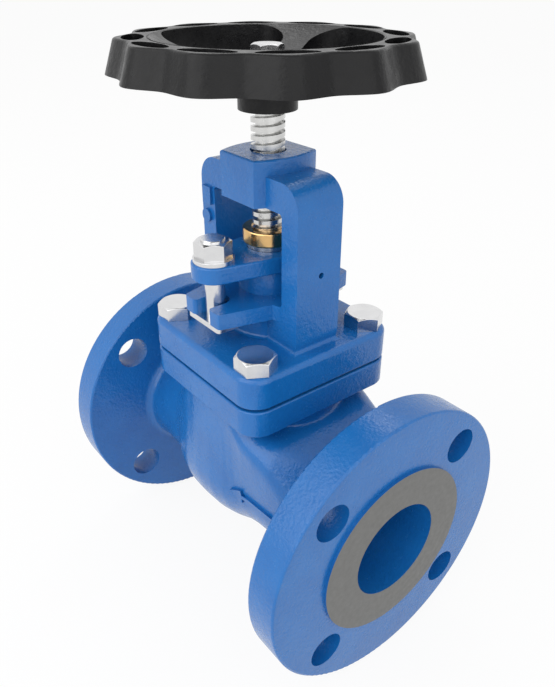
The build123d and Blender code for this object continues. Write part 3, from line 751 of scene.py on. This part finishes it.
    def flow_arrow(self, skin: bmesh.types.BMesh) -> bmesh.types.BMesh:
        """The arrow cast on the inlet neck's side, laid over the skin."""
        tree = BVHTree.FromBMesh(skin)
        bm = bmesh.new()
        verts = [bm.verts.new((x * MM, 0.09, z * MM)) for x, z in self.arrow]
        bm.faces.new(verts)
        bmesh.ops.triangulate(bm, faces=bm.faces)
        bmesh.ops.subdivide_edges(bm, edges=bm.edges, cuts=5, use_grid_fill=True)
        for vert in bm.verts:
            place = tree.ray_cast(vert.co, Vector((0, -1, 0)))[0]
            vert.co.y = place.y + self.arrow_rise
        under = bmesh.ops.extrude_face_region(bm, geom=list(bm.faces), use_keep_orig=True)["geom"]
        lower = [part for part in under if isinstance(part, bmesh.types.BMVert)]
        bmesh.ops.translate(bm, verts=lower, vec=(0, -2 * self.arrow_rise, 0))
        bmesh.ops.recalc_face_normals(bm, faces=bm.faces)
        round_edges(bm, 0.25 * MM, 50)
        return bm

    def strip_skin(self, bm: bmesh.types.BMesh) -> None:
        """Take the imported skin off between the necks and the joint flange, and keep the passages.

        Args:
            bm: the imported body, which is changed.
        """
        for place, normal in (
            ((self.neck_cut, 0, 0), (1, 0, 0)),
            ((2 * STEM_AXIS.x - self.neck_cut, 0, 0), (1, 0, 0)),
        ):
            bmesh.ops.bisect_plane(
                bm,
                geom=[*bm.verts, *bm.edges, *bm.faces],
                dist=CUT_SNAP,
                plane_co=place,
                plane_no=normal,
            )
        first, last = self.neck_cut, 2 * STEM_AXIS.x - self.neck_cut

        def belongs(face: bmesh.types.BMFace) -> bool:
            """Whether a face lies between the necks and not above the joint flange's underside."""
            centre = face.calc_center_median()
            under_joint = centre.z < self.joint_bottom + 0.01 * MM
            return first < centre.x < last and under_joint

        candidates = [face for face in bm.faces if belongs(face)]
        seed = min(candidates, key=lambda face: face.calc_center_median().z)
        found, waiting = {seed}, [seed]
        while waiting:
            for edge in waiting.pop().edges:
                for face in edge.link_faces:
                    if face not in found and belongs(face):
                        found.add(face)
                        waiting.append(face)
        LOG.info("body: %d packed skin faces make way for the cast skin", len(found))
        bmesh.ops.delete(bm, geom=list(found), context="FACES")

    def build(self) -> bpy.types.Object:
        """Make the body, with bare turned facings on both pipe flanges."""
        bm = merged_copy("valve_body")
        self.strip_skin(bm)
        close_small_rims(bm, self.largest_bolt_hole)
        round_edges(bm, self.edge)
        skin = self.skin()
        arrow = self.flow_arrow(skin)
        add_shell(bm, skin)
        weld_open_rims(bm)
        add_shell(bm, arrow)
        low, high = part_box("valve_body")
        for face in bm.faces:
            x = face.calc_center_median().x
            facing = min(abs(x - low.x), abs(x - high.x)) < self.facing_reach
            face.material_index = 1 if facing and abs(face.normal.x) > 0.9 else 0
        piece = to_object(bm, "body_casting", "valve", BLUE, FACING)
        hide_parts("valve_body")
        return piece


@dataclass
class Casings:
    """The castings above the body, the bonnet with its yoke and the gland flange, and the gasket."""

    edge: float = 0.7 * MM
    gland_edge: float = 0.4 * MM
    gasket_set_back: float = 0.965
    bolt_clearance: float = 7.5 * MM
    gasket_bore: float = 36 * MM
    lug_low: float = 100 * MM
    lug_height: float = 8 * MM
    lug_side: tuple[tuple[float, float], ...] = (
        (8.0, 41.5),
        (13.2, 41.5),
        (14.5, 41.0),
        (15.1, 39.8),
        (21.7, 14.6),
        (27.5, 12.9),
        (27.5, 8.0),
        (20.0, 8.0),
        (15.0, 14.2),
        (8.0, 24.0),
    )

    def lug_cheek(self, side_x: int, side_y: int) -> bmesh.types.BMesh:
        """One sloping cheek that widens a slotted lug towards its leg.

        Args:
            side_x: 1 or -1, the side of the stem along the flow.
            side_y: 1 or -1, the side of the stem across the flow.

        Returns:
            The cheek as a new bmesh.
        """
        bm = bmesh.new()
        verts = [
            bm.verts.new((STEM_AXIS.x + side_x * x * MM, side_y * y * MM, self.lug_low))
            for x, y in self.lug_side
        ]
        face = bm.faces.new(verts)
        top_side = bmesh.ops.extrude_face_region(bm, geom=[face], use_keep_orig=True)["geom"]
        raised = [part for part in top_side if isinstance(part, bmesh.types.BMVert)]
        bmesh.ops.translate(bm, verts=raised, vec=(0, 0, self.lug_height))
        bmesh.ops.recalc_face_normals(bm, faces=bm.faces)
        return bm

    def bonnet(self) -> bpy.types.Object:
        """The bonnet and yoke, with its lugs widened towards the legs."""
        bm = merged_copy("bonnet")
        for side_x in (1, -1):
            for side_y in (1, -1):
                bm = joined(bm, self.lug_cheek(side_x, side_y))
        flatten(bm)
        round_edges(bm, self.edge)
        piece = to_object(bm, "bonnet_casting", "valve", BLUE)
        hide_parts("bonnet")
        return piece

    def gasket(self) -> bpy.types.Object:
        """The joint's gasket, whose edge lies back in the gap between the two castings."""
        bm = merged_copy("bonnet_gasket")
        bolts = [middle(f"bonnet_bolt_{number}") for number in range(1, 5)]

        def on_rim(vert: bmesh.types.BMVert) -> bool:
            """Whether a vertex is on the outer edge, clear of the bolt holes and the bore."""
            to_bolt = min((vert.co.xy - bolt.xy).length for bolt in bolts)
            to_axis = (vert.co.xy - STEM_AXIS.xy).length
            return to_bolt > self.bolt_clearance and to_axis > self.gasket_bore

        rim = [vert for vert in bm.verts if on_rim(vert)]
        shrink = (self.gasket_set_back, self.gasket_set_back, 1)
        about_stem = Matrix.Translation((-STEM_AXIS.x, 0, 0))
        bmesh.ops.scale(bm, verts=rim, vec=shrink, space=about_stem)
        piece = to_object(bm, "gasket_sheet", "valve", GRAPHITE)
        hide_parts("bonnet_gasket")
        return piece

    def gland(self) -> bpy.types.Object:
        """The gland flange with its barrel."""
        bm = merged_copy("gland_flange")
        round_edges(bm, self.gland_edge)
        piece = to_object(bm, "gland_casting", "gland", BLUE)
        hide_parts("gland_flange")
        return piece

    def build(self) -> None:
        """Make the bonnet, the gasket and the gland flange."""
        self.bonnet()
        self.gasket()
        self.gland()


@dataclass
class StemThread:
    """The stem, with a right-hand trapezoidal thread from the stop ring up to the handwheel."""

    pitch: float = 4 * MM
    crest_r: float = 8 * MM
    root_r: float = 5.8 * MM
    flank: float = 0.45 * MM
    crest: float = 2.1 * MM
    steps: int = 48
    run_out: float = 1.5
    spare_turns: int = 3
    overlap: float = 1 * MM
    shank_edge: float = 0.3 * MM

    def helix(self, low: float, high: float) -> bmesh.types.BMesh:
        """The threaded length between two heights, with closed ends.

        Args:
            low: the height of its lower end.
            high: the height of its upper end.

        Returns:
            The thread as a new bmesh.
        """
        bm = bmesh.new()
        centre = Vector((STEM_AXIS.x, STEM_AXIS.y, 0))
        heights = (0.0, self.crest, self.crest + self.flank, self.pitch - self.flank, self.pitch)
        radii = (self.crest_r, self.crest_r, self.root_r, self.root_r, self.crest_r)
        base = low - self.run_out * self.pitch
        verts = [bm.verts.new(centre + Vector((r, 0, base + z))) for r, z in zip(radii, heights)]
        edges = [bm.edges.new(pair) for pair in zip(verts, verts[1:])]
        turns = math.ceil((high - low) / self.pitch) + self.spare_turns
        bmesh.ops.spin(
            bm,
            geom=verts + edges,
            cent=centre,
            axis=(0, 0, 1),
            dvec=(0, 0, self.pitch / self.steps),
            angle=2 * math.pi * turns,
            steps=self.steps * turns,
            use_merge=False,
            use_normal_flip=False,
            use_duplicate=False,
        )
        bmesh.ops.remove_doubles(bm, verts=bm.verts, dist=0.01 * MM)
        for height, side in ((low, -1), (high, 1)):
            rim = cut_off(bm, (0, 0, height), (0, 0, side))
            bmesh.ops.contextual_create(bm, geom=rim)
        bmesh.ops.recalc_face_normals(bm, faces=bm.faces)
        return bm

    def build(self) -> None:
        """Make the threaded length and the plain length below it."""
        thread_bottom = top("stop_ring") - self.overlap
        thread_top = bottom("handwheel")
        helix = self.helix(thread_bottom, thread_top)
        thread = to_object(helix, "stem_thread", "stem", BRIGHT, smooth=25)
        bm = merged_copy("stem")
        bmesh.ops.bisect_plane(
            bm,
            geom=list(bm.verts) + list(bm.edges) + list(bm.faces),
            plane_co=(0, 0, thread_bottom + self.overlap / 2),
            plane_no=(0, 0, 1),
            clear_outer=True,
        )
        bmesh.ops.holes_fill(bm, edges=[e for e in bm.edges if e.is_boundary], sides=0)
        round_edges(bm, self.shank_edge)
        shank = to_object(bm, "stem_shank", "stem", BRIGHT)
        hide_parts("stem")


@dataclass
class StopRing:
    """The brass ring on the stem, which stops under the yoke head when the valve is open."""

    edge: float = 0.8 * MM

    def build(self) -> None:
        """Make the ring."""
        bm = merged_copy("stop_ring")
        round_edges(bm, self.edge, 40, 3)
        piece = to_object(bm, "stop_ring_turned", "stem", BRASS)
        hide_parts("stop_ring")


@dataclass
class Fasteners:
    """The hexagon bolts and nuts, their washers and the T-headed gland bolts.

    A gland bolt's plain end is end_drop lower than its node's top, and runs end_sink down into
    its nut, so that it still shows whole when the gland is at its lowest.
    """

    edge: float = 0.12 * MM
    end_radius: float = 5.9 * MM
    end_drop: float = 1.6 * MM
    end_sink: float = 4.6 * MM
    end_bevel: float = 0.7 * MM
    touch: float = 0.1 * MM
    hair: float = 0.01 * MM

    def bonnet_bolts(self) -> None:
        """The four bolts of the bonnet joint."""
        for number in range(1, 5):
            node = f"bonnet_bolt_{number}"
            bm = merged_copy(node)
            round_edges(bm, self.edge, 20)
            piece = to_object(bm, node + "_hexagon", "valve", ZINC, smooth=25)
            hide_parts(node)

    def gland_set(self) -> None:
        """Both gland bolts with their washers and nuts."""
        for number in (1, 2):
            for node, body in (
                (f"gland_bolt_{number}", "valve"),
                (f"gland_washer_{number}", "gland"),
                (f"gland_nut_{number}", f"gland_nut_{number}"),
            ):
                bm = merged_copy(node)
                round_edges(bm, self.edge, 20)
                if node.startswith("gland_bolt"):
                    nut_top = top(f"gland_nut_{number}")
                    raised = [vert for vert in bm.verts if vert.co.z > nut_top + self.touch]
                    bmesh.ops.translate(bm, verts=raised, vec=(0, 0, -self.end_drop))
                    add_shell(bm, self.bolt_end(node, nut_top))
                piece = to_object(bm, node + "_plated", body, ZINC, smooth=25)
                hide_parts(node)

    def bolt_end(self, node: str, nut_top: float) -> bmesh.types.BMesh:
        """The plain end of a gland bolt, which stands over its nut.

        Args:
            node: the bolt.
            nut_top: the height of the nut's top.

        Returns:
            The end's own closed shell.
        """
        low, high = nut_top - self.end_sink, top(node) - self.end_drop + self.hair
        centre = middle(node)
        bm = bmesh.new()
        bmesh.ops.create_cone(
            bm,
            cap_ends=True,
            segments=64,
            radius1=self.end_radius,
            radius2=self.end_radius,
            depth=high - low,
            matrix=Matrix.Translation((centre.x, centre.y, (low + high) / 2)),
        )
        crest = [edge for edge in bm.edges if all(vert.co.z > high - self.hair for vert in edge.verts)]
        bmesh.ops.bevel(bm, geom=crest, offset=self.end_bevel, segments=3, profile=0.6, affect="EDGES")
        return bm

    def wheel_set(self) -> None:
        """The handwheel's bolt and washer."""
        for node in ("handwheel_bolt", "handwheel_washer"):
            bm = merged_copy(node)
            round_edges(bm, self.edge, 20)
            piece = to_object(bm, node + "_plated", "stem", ZINC, smooth=25)
            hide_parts(node)

    def build(self) -> None:
        """Make every fastener."""
        self.bonnet_bolts()
        self.gland_set()
        self.wheel_set()


@dataclass
class Handwheel:
    """The lobed handwheel, cast in one piece and painted black."""

    edge: float = 1.0 * MM

    def build(self) -> None:
        """Make the wheel from its CAD form with cast radii on its edges."""
        bm = merged_copy("handwheel")
        round_edges(bm, self.edge, 30, 3)
        piece = to_object(bm, "handwheel_casting", "stem", BLACK)
        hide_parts("handwheel")


@dataclass
class Packing:
    """Five rings of graphite rope, which the gland presses together."""

    count: int = 5
    pressed: float = 4 * MM

    def build(self) -> None:
        """Make each ring, each with a mesh of its own."""
        for number in range(1, self.count + 1):
            node = f"packing_ring_{number}"
            piece = to_object(merged_copy(node), node + "_rope", "valve", GRAPHITE)
            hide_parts(node)
            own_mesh(piece)


@dataclass
class CarriedOver:
    """CAD nodes whose shape is already right, which only take a finish."""

    def build(self) -> None:
        """Give each node that still shows its finish."""
        finishes = {
            "seat_ring": STAINLESS,
            "disc": STAINLESS,
            "disc_nut": STAINLESS,
            "back_seat_bush": STAINLESS,
            "packing_washer": STAINLESS,
            "yoke_bush": BRONZE,
            "gland_bush": BRIGHT,
        }
        for node, finish in finishes.items():
            piece = frame["nodes"][node]
            piece.data.materials.clear()
            piece.data.materials.append(finish_of(finish))
            LOG.info("%s: keeps its CAD mesh, dressed in %s", node, finish.name)


# ---------------------------------------------------------------- studio
@dataclass(frozen=True)
class Studio:
    """A pale floor, a white world, soft lamps and the camera."""

    eye: Point = (-0.15062, 0.19311, 0.25639)
    azimuth: float = 231.76
    elevation: float = 30.23
    lens: float = 35.47
    key_power: float = 24.0
    fill_power: float = 10.0
    glint_power: float = 1.4
    sky: float = 0.75
    floor_half: float = 9.0
    floor_colour: Colour = (0.85, 0.85, 0.85)
    floor_glow: float = 0.9
    floor_gap: float = 0.5 * MM
    aim_height: float = 0.08
    key_place: Point = (0.1, 1.5, 1.1)
    fill_place: Point = (-1.5, 0.3, 0.8)
    glint_place: Point = (0.78, -0.68, 1.25)
    key_size: float = 2.2
    fill_size: float = 2.0
    glint_size: float = 0.35

    def camera(self) -> None:
        """Place the camera; azimuth 0 looks along +Y."""
        data = bpy.data.cameras.new("camera")
        data.lens = self.lens
        data.sensor_width = 36.0
        data.clip_start = 0.01
        data.clip_end = 20.0
        camera = bpy.data.objects.new("camera", data)
        turn, lift = math.radians(self.azimuth), math.radians(self.elevation)
        level = math.cos(lift)
        back = Vector((math.sin(turn) * level, -math.cos(turn) * level, math.sin(lift)))
        camera.location = self.eye
        camera.rotation_euler = (-back).to_track_quat("-Z", "Y").to_euler()
        bpy.context.scene.collection.objects.link(camera)
        bpy.context.scene.camera = camera

    def lamp(self, name: str, place: Point, aim: Vector, size: float, power: float) -> None:
        """Hang one square area lamp.

        Args:
            name: the lamp's name.
            place: where it hangs.
            aim: the point that it faces.
            size: the length of its side.
            power: its power in watts.
        """
        data = bpy.data.lights.new(name, "AREA")
        data.size = size
        data.energy = power
        lamp = bpy.data.objects.new(name, data)
        lamp.location = place
        lamp.rotation_euler = (aim - Vector(place)).to_track_quat("-Z", "Y").to_euler()
        bpy.context.scene.collection.objects.link(lamp)

    @staticmethod
    def either_ray(tree: bpy.types.NodeTree, path: bpy.types.Node) -> bpy.types.NodeSocket:
        """One where a camera, mirror or transmission ray arrives, and zero otherwise."""
        seen = path.outputs["Is Camera Ray"]
        for ray in ("Is Glossy Ray", "Is Transmission Ray"):
            either = tree.nodes.new("ShaderNodeMath")
            either.operation = "MAXIMUM"
            tree.links.new(seen, either.inputs[0])
            tree.links.new(path.outputs[ray], either.inputs[1])
            seen = either.outputs[0]
        return seen

    def world(self) -> None:
        """A white world that lights the valve evenly."""
        world = bpy.data.worlds.new("studio")
        world.use_nodes = True
        tree = world.node_tree
        tree.nodes.clear()
        out = tree.nodes.new("ShaderNodeOutputWorld")
        plain = tree.nodes.new("ShaderNodeBackground")
        white = tree.nodes.new("ShaderNodeBackground")
        for node, strength in ((plain, self.sky), (white, 1.0)):
            node.inputs["Color"].default_value = (1, 1, 1, 1)
            node.inputs["Strength"].default_value = strength
        mix = tree.nodes.new("ShaderNodeMixShader")
        tree.links.new(self.either_ray(tree, tree.nodes.new("ShaderNodeLightPath")), mix.inputs["Fac"])
        tree.links.new(plain.outputs[0], mix.inputs[1])
        tree.links.new(white.outputs[0], mix.inputs[2])
        tree.links.new(mix.outputs[0], out.inputs["Surface"])
        bpy.context.scene.world = world

    def floor(self, low: Vector) -> None:
        """A wide pale floor under the valve's lowest point."""
        bm = bmesh.new()
        bmesh.ops.create_grid(bm, x_segments=1, y_segments=1, size=self.floor_half)
        bmesh.ops.translate(bm, verts=bm.verts, vec=(0, 0, low.z - self.floor_gap))
        mesh = bpy.data.meshes.new("floor")
        bm.to_mesh(mesh)
        bm.free()
        material = bpy.data.materials.new("floor_white")
        material.use_nodes = True
        tree = material.node_tree
        tree.nodes.clear()
        diffuse = tree.nodes.new("ShaderNodeBsdfDiffuse")
        diffuse.inputs["Color"].default_value = (*self.floor_colour, 1)
        glow = tree.nodes.new("ShaderNodeEmission")
        path = tree.nodes.new("ShaderNodeLightPath")
        share = tree.nodes.new("ShaderNodeMath")
        share.operation = "MULTIPLY"
        share.inputs[1].default_value = self.floor_glow
        mix = tree.nodes.new("ShaderNodeMixShader")
        out = tree.nodes.new("ShaderNodeOutputMaterial")
        tree.links.new(self.either_ray(tree, path), share.inputs[0])
        tree.links.new(share.outputs[0], mix.inputs["Fac"])
        tree.links.new(diffuse.outputs[0], mix.inputs[1])
        tree.links.new(glow.outputs[0], mix.inputs[2])
        tree.links.new(mix.outputs[0], out.inputs["Surface"])
        mesh.materials.append(material)
        floor = bpy.data.objects.new("floor", mesh)
        bpy.context.scene.collection.objects.link(floor)
        floor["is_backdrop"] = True

    def build(self, low: Vector) -> None:
        """Set up the whole studio round a valve whose lowest corner is given."""
        self.camera()
        self.world()
        self.floor(low)
        aim = Vector((STEM_AXIS.x, 0, self.aim_height))
        self.lamp("key", self.key_place, aim, self.key_size, self.key_power)
        self.lamp("fill", self.fill_place, aim, self.fill_size, self.fill_power)
        self.lamp("glint", self.glint_place, aim, self.glint_size, self.glint_power)
        bpy.context.scene.view_settings.view_transform = "Standard"


def main() -> None:
    """Build and dress the valve, piece by piece, and set up the studio."""
    logging.basicConfig(level=logging.INFO, format="%(name)s: %(message)s")
    cad_low, cad_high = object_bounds()
    BodyCasting().build()
    Casings().build()
    StemThread().build()
    StopRing().build()
    Fasteners().build()
    Handwheel().build()
    Packing().build()
    CarriedOver().build()
    Studio().build(cad_low)


if __name__ == "__main__":
    main()
